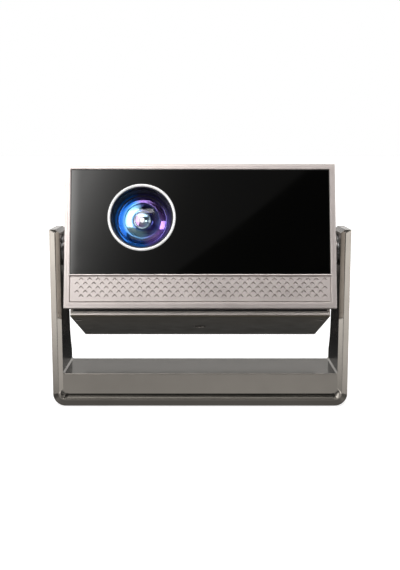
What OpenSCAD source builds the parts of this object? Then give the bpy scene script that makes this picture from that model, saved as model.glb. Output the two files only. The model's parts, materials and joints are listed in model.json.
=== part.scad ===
// Home projector: a box-shaped body that tilts on two friction hinges between the arms
// of a U-shaped metal stand. Millimetres, +Z up, +X to the right of someone who faces the
// lens, +Y towards the back. The origin is the centre of the stand's resting pad.

/* [Stand] */
// Outside width of the stand
stand_w = 297.6; // [296:0.2:304]
// Depth of the stand's base
stand_d = 84; // [80:1:90]
// Height of the arms above the base's underside
arm_h = 178; // [172:1:184]
// Thickness of each arm
arm_t = 10.2; // [9.8:0.1:11]
// Depth of the arms at their top
arm_top_d = 58; // [54:1:62]
// Height of the base
base_h = 33; // [31:0.5:36]
// Radius of the lower outside corners
corner_r = 12.4; // [11:0.2:14]
// Lean of the arms' back edges
arm_lean = 7; // [5:0.5:9]
// Height that the resting pad stands proud of the base
pad_proud = 0.8; // [0.5:0.1:1.2]

/* [Stand front moulding] */
// Width of the outer chamfer on the arms
chamfer_side = 5.6; // [5:0.1:6]
// Height of the outer chamfer under the base
chamfer_bottom = 6.5; // [5.5:0.1:7]
// Height of the outer chamfer at the arms' tops
chamfer_top = 3; // [2:0.1:4]
// Depth of the outer chamfer
chamfer_depth = 2.4; // [1.5:0.1:3]
// Width of the flat ridge between the two slopes
ridge_flat = 0.7; // [0.4:0.1:1]
// Height of the inner slope under the front panel
slope_bottom = 5.2; // [4.5:0.1:6]
// Depth of the front panel behind the ridge
panel_recess = 4; // [2:0.1:4.4]

/* [Tilt hinge] */
// Distance of the pivot in front of the stand's centre
pivot_forward = 9.3; // [9:0.1:12]
// Height of the pivot above the base's underside
pivot_h = 155.9; // [155.8:0.1:158]
// Upward tilt of the body as it stands
rest_tilt = 17; // [0:1:30]
// Radius of the hinge shafts
shaft_r = 5; // [4:0.5:6]
// Radius of the hubs beside the body
hub_r = 16; // [14:0.5:18]

/* [Front bezel] */
// Width of the bezel
bezel_w = 262; // [258:0.5:264]
// Height of the bezel
bezel_h = 142; // [140:0.5:144]
// Thickness of the bezel's metal frame
bezel_t = 5; // [4:0.5:5]
// Distance of the bezel's front ahead of the pivot
face_ahead = 55.1; // [54.5:0.1:57]
// Height of the bezel's centre above the pivot
face_lift = 2.2; // [2:0.1:3]
// Width of the bezel's side borders
border_side = 5.7; // [5:0.1:6.5]
// Height of the bezel's top border
border_top = 5.8; // [5:0.1:6.5]
// Height of the bezel's bottom border
border_bottom = 6.4; // [6:0.1:7]
// Height of the black front glass
glass_h = 103; // [100:0.1:104]
// Height of the bar between the glass and the speaker grille
divider_h = 2.3; // [2:0.1:4]

/* [Body] */
// Width of the housing
shell_w = 252; // [249:0.2:253]
// Depth of the housing behind the front carrier
shell_d = 140.7; // [138:0.1:144]
// Set-back of the housing behind the bezel's front
setback = 14; // [13:0.5:15]
// Depth of the bottom cover below the bezel's lower edge
chin = 6.4; // [6:0.1:7]
// Wall thickness of the housing
wall = 3; // [2.5:0.1:3.2]
// Radius of the housing's upper long edges
top_r = 8; // [6:0.5:10]
// Height of the bottom cover
cover_h = 6; // [5.5:0.1:6.5]
// Chamfer along the bottom cover's lower front edge
cover_chamfer = 1.8; // [1:0.1:2.2]
// Chamfer along the bottom cover's lower side edges
side_chamfer = 0.6; // [0.4:0.1:1.2]
// Chamfer along the bottom cover's back edge, which clears the stand's base
back_chamfer = 5; // [4.5:0.1:5.5]

/* [Lens] */
// Distance of the lens to the left of the centre
lens_left = 56.7; // [54:0.1:60]
// Height of the lens above the bezel's centre
lens_lift = 18.1; // [17:0.1:19]
// Outside radius of the bright lens ring
ring_r = 32.9; // [32:0.1:34]
// Width of the lens ring
ring_w = 2.3; // [2:0.1:2.6]
// Radius of the front lens element
front_lens_r = 24; // [23.5:0.1:24.2]
// Focus travel of the lens barrel each way
focus_travel = 2.5; // [1:0.1:2.5]

/* [Fans] */
// Side of the square exhaust fan
fan_w = 74; // [70:1:76]
// Side of the square panel fan
panel_fan_w = 50; // [46:1:52]
// Number of blades on the exhaust fan
fan_blades = 7; // [5:1:9]

/* [Hidden] */
$fn = 96;

// Stand, in the part's own frame
stand_front = -stand_d / 2;
stand_rear = stand_d / 2;
stand_side = stand_w / 2;
arm_in = stand_side - arm_t;
base_z = pad_proud;
base_top = base_z + base_h;
arm_top = base_z + arm_h;
ridge_r = 7.4;
panel_r = 6.3;
pivot_y = -pivot_forward;
pivot_z = base_z + pivot_h;

// Body, in its own untilted frame with the pivot at the origin
face_y = -face_ahead;
face_top = face_lift + bezel_h / 2;
face_bottom = face_lift - bezel_h / 2;
glass_top = face_top - border_top;
glass_bottom = glass_top - glass_h;
grille_top = glass_bottom - divider_h;
grille_bottom = face_bottom + border_bottom;
window_w = bezel_w - 2 * border_side;
window_h = glass_top - grille_bottom;
window_z = (glass_top + grille_bottom) / 2;
carrier_y = face_y + 3.1;
bezel_back = face_y + bezel_t;
shell_front = face_y + setback;
rear_t = 4;
shell_back = shell_front + shell_d;
rear_front = shell_back - rear_t;
shell_top = face_top - 4.5;
cover_bottom = face_bottom - chin;
cover_top = cover_bottom + cover_h;
shell_in = shell_w / 2 - wall;
cover_mid = (shell_front + shell_back) / 2;

// Hinge
bush_r = shaft_r + 2;
bush_len = 6.4;
washer_t = 0.8;
hub_out = arm_in - washer_t - 0.2;
nut_r = 8.4;
cap_r = 9.6;
cap_t = 1.4;

// Lens and light path
lens_x = -lens_left;
lens_z = face_lift + lens_lift;
barrel_r = front_lens_r + 3;
barrel_front = face_y + 16.4;
barrel_l = 42.5;
screw_x = 41;
tunnel_wall = 2.5;
tunnel_left = -98;
tunnel_right = 80;
tunnel_front = 10;
tunnel_back = 84;
tunnel_h = 88;
tunnel_y = (tunnel_front + tunnel_back) / 2;
channel_w = tunnel_back - tunnel_front - 2 * tunnel_wall;
channel_h = tunnel_h - 2 * tunnel_wall;

// Fans
fan_t = 15;
fan_r = fan_w / 2 - 2.5;
panel_fan_t = 12;
panel_fan_r = panel_fan_w / 2 - 2;
panel_fan_x = 12;

// Speakers, boards and sockets
speaker_x = 78;
speaker_w = 74;
speaker_h = 24;
board_z = cover_bottom + 13.6;
board_t = 1.6;
board_back = 92;
button_x = 96;
button_z = -10;
button_r = 6;

metal = [0.45, 0.43, 0.41];
champagne = [0.80, 0.76, 0.75];
black = [0.08, 0.08, 0.09];
steel = [0.70, 0.70, 0.72];
green = [0.10, 0.30, 0.18];
clear = [0.55, 0.65, 0.80];

// ---- Helpers ----

// An outline drawn in X and Z, drawn out along Y
module along_y(y0, y1) {
    translate([0, y1, 0]) rotate([90, 0, 0]) linear_extrude(y1 - y0) children();
}

// An outline drawn in Y and Z, drawn out along X
module along_x(x0, x1) {
    translate([x0, 0, 0]) rotate([90, 0, 90]) linear_extrude(x1 - x0) children();
}

// A box given by its lowest and highest corners
module block(low, high) {
    translate(low) cube(high - low);
}

module x_cylinder(r, x0, x1) {
    translate([x0, 0, 0]) rotate([0, 90, 0]) cylinder(r = r, h = x1 - x0);
}

module y_cylinder(r, y0, y1) {
    translate([0, y0, 0]) rotate([-90, 0, 0]) cylinder(r = r, h = y1 - y0);
}

// A rotate_extrude about the Y axis, from an outline drawn as [radius, y]
module y_turned() {
    rotate([-90, 0, 0]) rotate_extrude() children();
}

// A centred rectangle with round corners
module rounded_rect(w, h, r) {
    square([w - 2 * r, h], center = true);
    square([w, h - 2 * r], center = true);
    for (sx = [-1, 1], sy = [-1, 1])
        translate([sx * (w / 2 - r), sy * (h / 2 - r)]) circle(r);
}

// Puts a piece drawn in the body's own frame where the body stands
module posed() {
    translate([0, pivot_y, pivot_z]) rotate([-rest_tilt, 0, 0]) children();
}

module at_pivot() {
    translate([0, pivot_y, pivot_z]) children();
}

module on_lens_axis() {
    posed() translate([lens_x, 0, lens_z]) children();
}

// On the lens's axis, with y = 0 at the barrel's front
module at_barrel() {
    on_lens_axis() translate([0, barrel_front, 0]) children();
}

// Mirrors a right-hand piece to the left when side is -1
module on_side(side) {
    if (side > 0) children();
    else mirror([1, 0, 0]) children();
}

module tube_x(r_out, r_in, x0, x1) {
    difference() {
        x_cylinder(r_out, x0, x1);
        x_cylinder(r_in, x0 - 1, x1 + 1);
    }
}

// ---- Stand ----

// The stand's outline seen from the front, drawn in by the given margins
module stand_outline(side, bottom, top, r) {
    half = stand_side - side;
    low = base_z + bottom;
    translate([-half, low + r]) square([2 * half, arm_top - top - low - r]);
    translate([r - half, low]) square([2 * (half - r), 2 * r]);
    for (s = [-1, 1]) translate([s * (half - r), low + r]) circle(r);
}

// The stand seen from the side: upright front, leaning back edge, hollow curve into the base
module side_profile() {
    blend_r = 60;
    waist = 76;
    waist_y = stand_front + arm_top_d + (arm_top - waist) * tan(arm_lean);
    centre = [waist_y + blend_r * cos(arm_lean), waist + blend_r * sin(arm_lean)];
    meet_z = centre[1] - sqrt(pow(blend_r, 2) - pow(centre[0] - stand_rear, 2));
    difference() {
        polygon([
            [stand_front, 0], [stand_rear, 0], [stand_rear, meet_z], centre,
            [waist_y, waist], [stand_front + arm_top_d, arm_top], [stand_front, arm_top]
        ]);
        translate(centre) circle(blend_r);
    }
}

// The open space between the arms, with small chamfers where the arms meet the base
module arm_gap() {
    crease = 1.5;
    polygon([
        [-arm_in, arm_top + 5], [-arm_in, base_top + crease], [crease - arm_in, base_top],
        [arm_in - crease, base_top], [arm_in, base_top + crease], [arm_in, arm_top + 5]
    ]);
}

// The front recess between the ridges, narrowing towards the panel
module front_recess() {
    ridge_in = chamfer_side + ridge_flat;
    hull() {
        along_y(stand_front - 0.02, stand_front - 0.01)
            stand_outline(ridge_in, chamfer_bottom + ridge_flat, -20, ridge_r);
        along_y(stand_front + panel_recess - 0.01, stand_front + panel_recess)
            stand_outline(arm_t, chamfer_bottom + ridge_flat + slope_bottom, -20, panel_r);
    }
}

ballast_spots = [for (x = [-92, 92], y = [-20, 20]) [x, y]];
boss_spots = [for (x = [-118, 118], y = [-27, 27]) [x, y]];
cavity_w = 252;
cavity_d = 68;
cavity_top = base_top - 5;

module stand_frame() color(metal) {
    cap_chamfer = 3.7;
    difference() {
        union() {
            difference() {
                intersection() {
                    union() {
                        along_y(stand_front + chamfer_depth, stand_rear)
                            stand_outline(0, 0, 0, corner_r);
                        hull() {
                            along_y(stand_front + chamfer_depth, stand_front + chamfer_depth + 0.01)
                                stand_outline(0, 0, 0, corner_r);
                            along_y(stand_front, stand_front + 0.01)
                                stand_outline(chamfer_side, chamfer_bottom, chamfer_top, ridge_r);
                        }
                    }
                    along_x(-stand_w, stand_w) side_profile();
                }
                along_y(stand_front - 1, stand_rear + 1) arm_gap();
                front_recess();
                translate([0, 0, base_z - 1]) linear_extrude(cavity_top - base_z + 1)
                    rounded_rect(cavity_w, cavity_d, 5);
            }
            for (p = boss_spots) translate([p[0], p[1], base_z + 2.5])
                cylinder(r = 5, h = cavity_top - base_z - 2);
        }
        for (s = [-1, 1]) translate([s * arm_in, 0, arm_top])
            rotate([0, 45, 0]) cube([cap_chamfer * sqrt(2), 2 * stand_d, cap_chamfer * sqrt(2)],
                                    center = true);
        for (s = [0, 1]) mirror([s, 0, 0]) at_pivot() {
            x_cylinder(bush_r, arm_in - 1, stand_side + 1);
            x_cylinder(cap_r, arm_in + bush_len, stand_side + 1);
        }
        for (p = boss_spots) translate([p[0], p[1], base_z]) cylinder(r = 1.6, h = 14);
        for (p = ballast_spots) translate([p[0], p[1], cavity_top - 1]) cylinder(r = 2.03, h = 4.5);
    }
}

module stand_ballast() color(steel) {
    difference() {
        translate([0, 0, cavity_top - 12]) linear_extrude(12) rounded_rect(208, 58, 4);
        for (p = ballast_spots) translate([p[0], p[1], 0]) cylinder(r = 2.2, h = arm_h);
    }
}

module stand_bottom_cover() color(black) {
    difference() {
        translate([0, 0, base_z]) linear_extrude(2.5) rounded_rect(cavity_w - 0.4, cavity_d - 0.4, 4.8);
        translate([0, 0, base_z - 1]) linear_extrude(2) rounded_rect(226, 50, 6);
        for (p = boss_spots) translate([p[0], p[1], base_z - 1]) {
            cylinder(r = 1.8, h = 5);
            cylinder(r = 3.4, h = 2.4);
        }
    }
}

module stand_foot_pad() color(black) {
    linear_extrude(base_z + 1) rounded_rect(225.6, 49.6, 5.8);
}

// A cap screw that points up, with its head's underside at z = 0
module screw_up(shank_r, shank_l, head_r, head_h) {
    cylinder(r = shank_r, h = shank_l);
    difference() {
        translate([0, 0, -head_h]) cylinder(r = head_r, h = head_h);
        translate([0, 0, -head_h - 1]) cylinder(r = shank_r * 0.6, h = head_h * 0.5 + 1, $fn = 6);
    }
}

module stand_screws() color(steel) {
    for (p = boss_spots) translate([p[0], p[1], base_z + 1.4]) screw_up(1.6, 12, 3.2, 1.2);
    for (p = ballast_spots) translate([p[0], p[1], cavity_top - 12]) screw_up(2, 15.5, 3.8, 3);
}

module hinge_bush(side) color([0.75, 0.62, 0.35]) {
    on_side(side) at_pivot() tube_x(bush_r, shaft_r + 0.04, arm_in, arm_in + bush_len);
}

module hinge_washer(side) color(steel) {
    on_side(side) at_pivot() tube_x(hub_r - 2, shaft_r + 0.3, arm_in - washer_t, arm_in);
}

module arm_cap(side) color(metal) {
    on_side(side) at_pivot() x_cylinder(cap_r - 0.1, stand_side - cap_t, stand_side);
}

// ---- Front of the body ----

module face_window(margin) {
    translate([0, window_z]) square([window_w + 2 * margin, window_h + 2 * margin], center = true);
}

module bezel() color(champagne) posed() {
    difference() {
        along_y(face_y, bezel_back) translate([0, face_lift]) square([bezel_w, bezel_h], center = true);
        along_y(face_y - 1, bezel_back + 1) face_window(0);
    }
    block([-window_w / 2, face_y, grille_top], [window_w / 2, carrier_y, glass_bottom]);
}

module front_glass() color(black) posed() {
    difference() {
        block([0.1 - window_w / 2, face_y + 0.6, glass_bottom + 0.1],
              [window_w / 2 - 0.1, carrier_y, glass_top - 0.1]);
        translate([lens_x, 0, lens_z]) y_cylinder(ring_r + 0.1, face_y, carrier_y + 1);
    }
}

module speaker_grille() color(champagne) posed() {
    block([0.2 - window_w / 2, face_y + 0.5, grille_bottom + 0.2],
          [window_w / 2 - 0.2, carrier_y, grille_top - 0.2]);
}

module speaker_spot(side) {
    translate([side * speaker_x, 0, (grille_top + grille_bottom) / 2]) children();
}

// Holds the glass, the grille and the speakers, and closes the housing's front
module front_carrier() color(black) posed() {
    rim = 2.8;
    open_x = shell_in - 4.3;
    difference() {
        union() {
            along_y(carrier_y, bezel_back + 1) face_window(-0.2);
            along_y(bezel_back, shell_front) face_window(rim);
            block([-shell_in, shell_front, cover_top], [shell_in, shell_front + 2, shell_top - 9]);
        }
        block([-open_x, bezel_back + 1, grille_bottom], [open_x, shell_front + 3, glass_top - 3.2]);
        translate([lens_x, 0, lens_z]) y_cylinder(ring_r + 0.1, face_y, shell_front + 1);
        for (s = [-1, 1]) speaker_spot(s) along_y(face_y, 0) rounded_rect(64, 17, 8);
    }
}

module lens_ring() color(steel) on_lens_axis() {
    difference() {
        y_cylinder(ring_r, face_y - 0.8, bezel_back + 1);
        y_cylinder(ring_r - ring_w, face_y - 2, bezel_back + 2);
    }
}

module lens_shroud() color(black) on_lens_axis() {
    mouth_r = ring_r - ring_w - 0.1;
    flange_y = bezel_back + 1;
    throat_y = barrel_front - focus_travel - 0.6;
    y_turned() polygon([
        [mouth_r - 1.2, face_y + 0.7], [mouth_r, face_y + 0.7], [mouth_r, flange_y],
        [mouth_r + 5.5, flange_y], [mouth_r + 5.5, flange_y + 1.5], [mouth_r - 1.8, flange_y + 1.5],
        [front_lens_r + 2, throat_y], [front_lens_r + 0.6, throat_y]
    ]);
}

// ---- Housing ----

module housing_outline(r, margin) {
    half = shell_w / 2 - margin;
    top = shell_top - margin;
    translate([-half, cover_top]) square([2 * half, top - cover_top - r]);
    translate([r - half, top - 2 * r]) square([2 * (half - r), 2 * r]);
    for (s = [-1, 1]) translate([s * (half - r), top - r]) circle(r);
}

cover_spots = [for (s = [-1, 1], y = [-18, 84]) [s * (shell_in - 2.4), y]];
rear_spots = [for (s = [-1, 1], z = [-46, 56]) [s * (shell_in - 4), z]];

module vent_row(count, pitch, slot_w, slot_h) {
    for (i = [0 : count - 1]) translate([(i - (count - 1) / 2) * pitch, 0])
        square([slot_w, slot_h], center = true);
}

module housing_shell() color(metal) posed() {
    difference() {
        union() {
            difference() {
                along_y(shell_front, rear_front) housing_outline(top_r, 0);
                along_y(shell_front - 1, rear_front + 1) housing_outline(top_r - wall, wall);
                block([-shell_in, shell_front - 1, cover_top - 1],
                      [shell_in, rear_front + 1, cover_top + 10]);
            }
            for (p = cover_spots) translate([p[0], p[1], cover_top]) cylinder(r = 5, h = 14);
            for (p = rear_spots) translate([p[0], 0, p[1]]) y_cylinder(4.4, rear_front - 11, rear_front);
        }
        for (p = cover_spots) translate([p[0], p[1], cover_top - 1]) cylinder(r = 1.5, h = 12);
        for (p = rear_spots) translate([p[0], 0, p[1]]) y_cylinder(1.5, rear_front - 10, rear_front + 1);
        x_cylinder(shaft_r + 0.2, -shell_w, shell_w);
        for (s = [-1, 1]) translate([s * shell_w / 2, tunnel_y, lens_z])
            rotate([90, 0, 90]) translate([0, 0, -wall - 2]) linear_extrude(2 * wall + 4)
                for (z = [-21, 0, 21]) translate([0, z]) vent_row(13, 5, 2.4, 18);
    }
}

module bottom_cover() color(metal) posed() {
    half = shell_w / 2;
    chamfered_side = [[-half, cover_top], [-half, cover_bottom + side_chamfer],
        [side_chamfer - half, cover_bottom], [half - side_chamfer, cover_bottom],
        [half, cover_bottom + side_chamfer], [half, cover_top]];
    chamfered_end = [[shell_front, cover_top], [shell_front, cover_bottom + cover_chamfer],
        [shell_front + cover_chamfer, cover_bottom], [shell_back - back_chamfer, cover_bottom],
        [shell_back, cover_bottom + back_chamfer], [shell_back, cover_top]];
    difference() {
        union() {
            difference() {
                intersection() {
                    along_y(shell_front - 1, shell_back + 1) polygon(chamfered_side);
                    along_x(-half - 1, half + 1) polygon(chamfered_end);
                }
                block([-shell_in, shell_front + wall, cover_bottom + wall],
                      [shell_in, shell_back - rear_t, cover_top + 1]);
            }
            translate([0, cover_mid, cover_bottom + wall]) cylinder(r = 9, h = 10);
            for (p = cover_spots) translate([p[0], p[1], cover_bottom + wall])
                cylinder(r = 4.6, h = cover_h - wall);
            board_posts();
        }
        translate([0, cover_mid, cover_bottom - 1]) cylinder(r = 6.2, h = 12.4);
        for (p = cover_spots) translate([p[0], p[1], cover_bottom - 1]) {
            cylinder(r = 1.7, h = 10);
            cylinder(r = 4, h = 3.6);
        }
    }
}

// Posts that hold the two circuit boards
module board_posts() {
    for (x = [-105, -20, 20, 104], y = [30, 80])
        translate([x, y, cover_bottom + wall]) cylinder(r = 3, h = board_z - cover_bottom - wall);
}

module rear_cover() color(black) posed() {
    difference() {
        hull() {
            along_y(rear_front, shell_back - 1.2) housing_outline(top_r, 0);
            along_y(shell_back - 0.01, shell_back) intersection() {
                housing_outline(top_r, 1.2);
                translate([-shell_w, cover_top + 1.2]) square([2 * shell_w, bezel_h]);
            }
        }
        for (z = [16, 44]) translate([0, 0, z]) along_y(rear_front - 1, shell_back + 1)
            vent_row(37, 5, 2.4, 22);
        socket_holes();
        translate([button_x, 0, button_z]) y_cylinder(button_r + 0.3, rear_front - 1, shell_back + 1);
        translate([button_x - 24, 0, button_z])
            along_y(rear_front - 1, shell_back + 1) rounded_rect(16, 8, 2);
        for (p = rear_spots) translate([p[0], 0, p[1]]) {
            y_cylinder(1.7, rear_front - 1, shell_back + 1);
            y_cylinder(3.2, shell_back - 2, shell_back + 1);
        }
    }
}

// Head-recessed screws: four under the body and four in the rear cover
module cover_screws() color(steel) posed() {
    for (p = cover_spots) translate([p[0], p[1], cover_bottom + 2.6]) screw_up(1.5, 11, 3, 1.2);
    for (p = rear_spots) translate([p[0], shell_back - 2, p[1]])
        rotate([90, 0, 0]) screw_up(1.5, 11, 3, 1.6);
}

module screw_plugs() color(black) posed() {
    for (p = cover_spots) translate([p[0], p[1], cover_bottom + 0.3]) cylinder(r = 3.9, h = 1);
}

module tripod_insert() color([0.75, 0.62, 0.35]) posed() translate([0, cover_mid, cover_bottom]) {
    difference() {
        translate([0, 0, 0.4]) cylinder(r = 6.1, h = 11);
        translate([0, 0, -1]) cylinder(r = 3.175, h = 10.9);
    }
}

// ---- Hinge parts that turn with the body ----

module hinge_shaft(side) color(steel) posed() on_side(side) {
    x_cylinder(shaft_r, shell_in - 3, arm_in + bush_len);
    x_cylinder(shaft_r + 4.5, shell_in - 3, shell_in);
    x_cylinder(shaft_r - 1, arm_in + bush_len - 0.5, arm_in + bush_len + 2);
}

module hub(side) color(champagne) posed() on_side(side) {
    tube_x(hub_r, shaft_r + 0.1, shell_w / 2, hub_out);
}

module hinge_nuts() color(steel) posed() {
    for (s = [-1, 1]) on_side(s) difference() {
        x_cylinder(nut_r, arm_in + bush_len + 0.2, arm_in + bush_len + 2);
        x_cylinder(shaft_r - 1, arm_in, stand_side);
    }
}

// ---- Lens ----

// A disc lens whose front bulges by sag, with a flat back
module domed_lens(r, sag, edge_y, back_y) {
    dome_r = (r * r + sag * sag) / (2 * sag);
    intersection() {
        translate([0, edge_y - sag + dome_r, 0]) sphere(dome_r);
        y_cylinder(r, edge_y - sag - 1, back_y);
    }
}

module front_lens() color(clear) at_barrel() domed_lens(front_lens_r, 5.5, -0.5, 5.5);

module middle_lens() color(clear) at_barrel() domed_lens(18.95, 3, 16, 22);

module rear_lens() color(clear) at_barrel() domed_lens(20, 3, 31, 37);

// Slides to focus; a lug at its side carries the nut of the focus screw
module lens_barrel() color(black) at_barrel() {
    difference() {
        union() {
            y_cylinder(barrel_r, 0, barrel_l);
            block([barrel_r - 2, 30.5, -5], [screw_x + 5, 38.5, 5]);
        }
        y_cylinder(front_lens_r + 0.05, -1, 5.5);
        y_cylinder(19, 1, 29);
        y_cylinder(20.05, 28, 37);
        y_cylinder(17.5, 36, barrel_l + 1);
        translate([screw_x, 0, 0]) y_cylinder(1.58, 29, 40);
    }
}

module lens_holder() color(black) at_barrel() {
    difference() {
        union() {
            block([-32, 8.5, -32], [32, 26.5, 32]);
            block([31, 14.5, -11], [52, 18.5, 11]);
            for (x = [-28, 28], z = [-28, 28]) translate([x, 0, z])
                y_cylinder(3.5, 25, tunnel_front - barrel_front);
        }
        y_cylinder(barrel_r + 0.3, 7, 28);
        translate([screw_x, 0, 0]) y_cylinder(2.5, 13, 20);
    }
}

module focus_motor() color(steel) at_barrel() translate([screw_x, 0, 0]) {
    difference() {
        union() {
            y_cylinder(8, 0.5, 14.5);
            block([-8.9, 13.5, -9], [10, 14.5, 9]);
        }
        y_cylinder(1.56, 6.5, 16);
    }
}

module focus_screw() color(steel) at_barrel() translate([screw_x, 0, 0]) y_cylinder(1.5, 7, 42.5);

// ---- Light path: from the lamp at the right to the mirror behind the lens ----

module light_tunnel() color([0.16, 0.16, 0.17]) posed() translate([0, 0, lens_z]) {
    for (x = [-88, 70], y = [20, 74]) translate([x, y, tunnel_h / 2])
        cylinder(r = 5, h = shell_top - wall - lens_z - tunnel_h / 2);
    difference() {
        block([tunnel_left, tunnel_front, -tunnel_h / 2], [tunnel_right, tunnel_back, tunnel_h / 2]);
        block([tunnel_left + tunnel_wall, tunnel_front + tunnel_wall, -channel_h / 2],
              [tunnel_right + 1, tunnel_back - tunnel_wall, channel_h / 2]);
        translate([lens_x, 0, 0]) y_cylinder(24, tunnel_front - 1, tunnel_front + tunnel_wall + 1);
        translate([panel_fan_x, tunnel_y, -tunnel_h / 2 - 1]) cylinder(r = 20, h = tunnel_wall + 2);
        translate([panel_fan_x, tunnel_y, channel_h / 2 - 1]) cylinder(r = 20, h = tunnel_wall + 2);
    }
}

module in_channel(x0, x1) {
    posed() translate([0, tunnel_y, lens_z])
        block([x0, -channel_w / 2, -channel_h / 2], [x1, channel_w / 2, channel_h / 2]);
}

module fold_mirror() color(steel) posed() translate([lens_x, tunnel_y, lens_z]) {
    rotate([0, 0, 45]) block([-45, -1, -channel_h / 2], [45, 1, channel_h / 2]);
}

module field_lens() color(clear) in_channel(-6, -4);

module lcd_panel() color([0.1, 0.1, 0.14]) in_channel(11, 13.5);

module polarizer() color(clear) in_channel(20, 21.5);

module collimator_lens() color(clear) in_channel(32, 34);

module condenser_lens() color(clear) posed() translate([61, tunnel_y, lens_z]) {
    rotate([0, 0, -90]) domed_lens(channel_w / 2 - 0.05, 12, -3, 1);
}

module led_reflector() color(steel) posed() translate([64, tunnel_y, lens_z]) {
    difference() {
        block([0, -channel_w / 2, -channel_h / 2], [1.5, channel_w / 2, channel_h / 2]);
        x_cylinder(30, -1, 3);
    }
    rotate([0, 0, -90]) y_turned() polygon([[30, 0], [31.2, 0], [14.6, 11], [13.4, 11]]);
}

module led_module() color([0.9, 0.85, 0.5]) posed() translate([tunnel_right, tunnel_y, lens_z]) {
    block([-2, -25, -25], [0, 25, 25]);
    x_cylinder(12, -4, -2);
}

module heat_sink() color(steel) posed() translate([tunnel_right, tunnel_y, lens_z]) {
    half_y = (tunnel_back - tunnel_front) / 2;
    block([0, -half_y, -tunnel_h / 2], [5, half_y, tunnel_h / 2]);
    for (i = [0 : 13]) translate([0, (i - 6.5) * 5, 0]) block([5, -0.6, -40], [24, 0.6, 40]);
}

// ---- Fans ----

// An axial fan frame in the X-Y plane, with its struts and stator at the bottom
module fan_frame(side, bore, depth, stator_r) {
    difference() {
        linear_extrude(depth) rounded_rect(side, side, 4);
        translate([0, 0, -1]) cylinder(r = bore, h = depth + 2);
    }
    for (a = [45, 165, 285]) rotate([0, 0, a]) block([0, -1.5, 0], [bore + 1, 1.5, 2]);
    cylinder(r = stator_r, h = 2.8);
    cylinder(r = 1.5, h = depth - 3);
}

// A fan rotor: a cup with twisted blades set round it
module fan_rotor(tip_r, hub, depth, blades) {
    difference() {
        union() {
            cylinder(r = hub, h = depth);
            for (i = [0 : blades - 1]) rotate([0, 0, i * 360 / blades])
                translate([hub - 1, 0, depth / 2]) rotate([38, 0, 0])
                    block([0, -depth * 0.52, -0.6], [tip_r - hub, depth * 0.52, 0.6]);
        }
        translate([0, 0, -1]) cylinder(r = 1.56, h = depth + 2);
    }
}

module at_exhaust_fan() {
    posed() translate([shell_in - fan_t, tunnel_y, lens_z]) rotate([0, 90, 0]) children();
}

module at_panel_fan() {
    posed() translate([panel_fan_x, tunnel_y, lens_z - tunnel_h / 2 - panel_fan_t]) children();
}

module exhaust_fan_frame() color(black) at_exhaust_fan() fan_frame(fan_w, fan_r, fan_t, 14);

module exhaust_fan_rotor() color([0.2, 0.2, 0.22]) at_exhaust_fan()
    translate([0, 0, 3.4]) fan_rotor(fan_r - 1.2, 16, 10.6, fan_blades);

module panel_fan_frame() color(black) at_panel_fan()
    fan_frame(panel_fan_w, panel_fan_r, panel_fan_t, 9);

module panel_fan_rotor() color([0.2, 0.2, 0.22]) at_panel_fan()
    translate([0, 0, 3.4]) fan_rotor(panel_fan_r - 1.2, 10, 7.8, 9);

// ---- Speakers and boards ----

module speaker(side) color([0.14, 0.14, 0.15]) posed() speaker_spot(side) {
    back = bezel_back + 1;
    difference() {
        union() {
            along_y(back, back + 9) rounded_rect(speaker_w, speaker_h, 6);
            y_cylinder(11, back + 9, back + 17);
        }
        along_y(back - 1, back + 7.5) rounded_rect(64, 17, 8);
    }
    along_y(back + 0.5, back + 1.6) rounded_rect(63.9, 16.9, 8);
    y_cylinder(6, back + 1.6, back + 7.5);
}

module circuit_board(x0, x1, y0, y1) {
    block([x0, y0, board_z], [x1, y1, board_z + board_t]);
}

module main_board() color(green) posed() {
    parts_z = board_z + board_t;
    circuit_board(13, 111, 22, board_back);
    block([50, 36, parts_z], [74, 60, parts_z + 6]);
    block([84, 36, parts_z], [98, 50, parts_z + 2]);
    block([30, 36, parts_z], [40, 56, parts_z + 2]);
}

module power_board() color(green) posed() {
    parts_z = board_z + board_t;
    circuit_board(-111, -14, -4, board_back);
    block([-84, 10, parts_z], [-54, 40, parts_z + 24]);
    for (x = [-98, -40]) translate([x, 10, parts_z]) cylinder(r = 8, h = 24);
    block([-50, 50, parts_z], [-46, 80, parts_z + 20]);
}

// ---- Sockets, on the boards' back edges ----

socket_front = board_back - 4;
socket_back = shell_back - 0.6;
parts_top = board_z + board_t;

module hdmi_shape() {
    polygon([[-7.5, 0], [-7.5, -3], [-5.5, -5.4], [5.5, -5.4], [7.5, -3], [7.5, 0]]);
}

module at_socket(x, lift) {
    translate([x, 0, parts_top + lift]) children();
}

module socket_holes() {
    for (x = [34, 56]) at_socket(x, 6.6) along_y(rear_front - 1, shell_back + 1)
        translate([0, -3.4]) square([16.4, 7.4], center = true);
    at_socket(80, 4.2) along_y(rear_front - 1, shell_back + 1) square([14.6, 8.8], center = true);
    at_socket(100, 4) y_cylinder(4, rear_front - 1, shell_back + 1);
    at_socket(-96, 9.5) along_y(rear_front - 1, shell_back + 1) rounded_rect(24.4, 16.4, 2.2);
}

module hdmi_socket() color(steel) posed() for (x = [34, 56]) at_socket(x, 6.6) {
    difference() {
        along_y(socket_front, socket_back) translate([0, -3.3]) square([16, 6.6], center = true);
        along_y(socket_front + 2, socket_back + 1) translate([0, -0.6]) hdmi_shape();
    }
    block([-5.5, socket_front + 1.9, -3.7], [5.5, socket_back - 1, -2.7]);
}

module usb_socket() color(steel) posed() at_socket(80, 0) {
    difference() {
        block([-7, socket_front, 0], [7, socket_back, 7.6]);
        block([-6.2, socket_front + 2, 1], [6.2, socket_back + 1, 6.6]);
    }
    block([-5.4, socket_front + 1.9, 1.6], [5.4, socket_back - 1, 3.2]);
}

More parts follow.
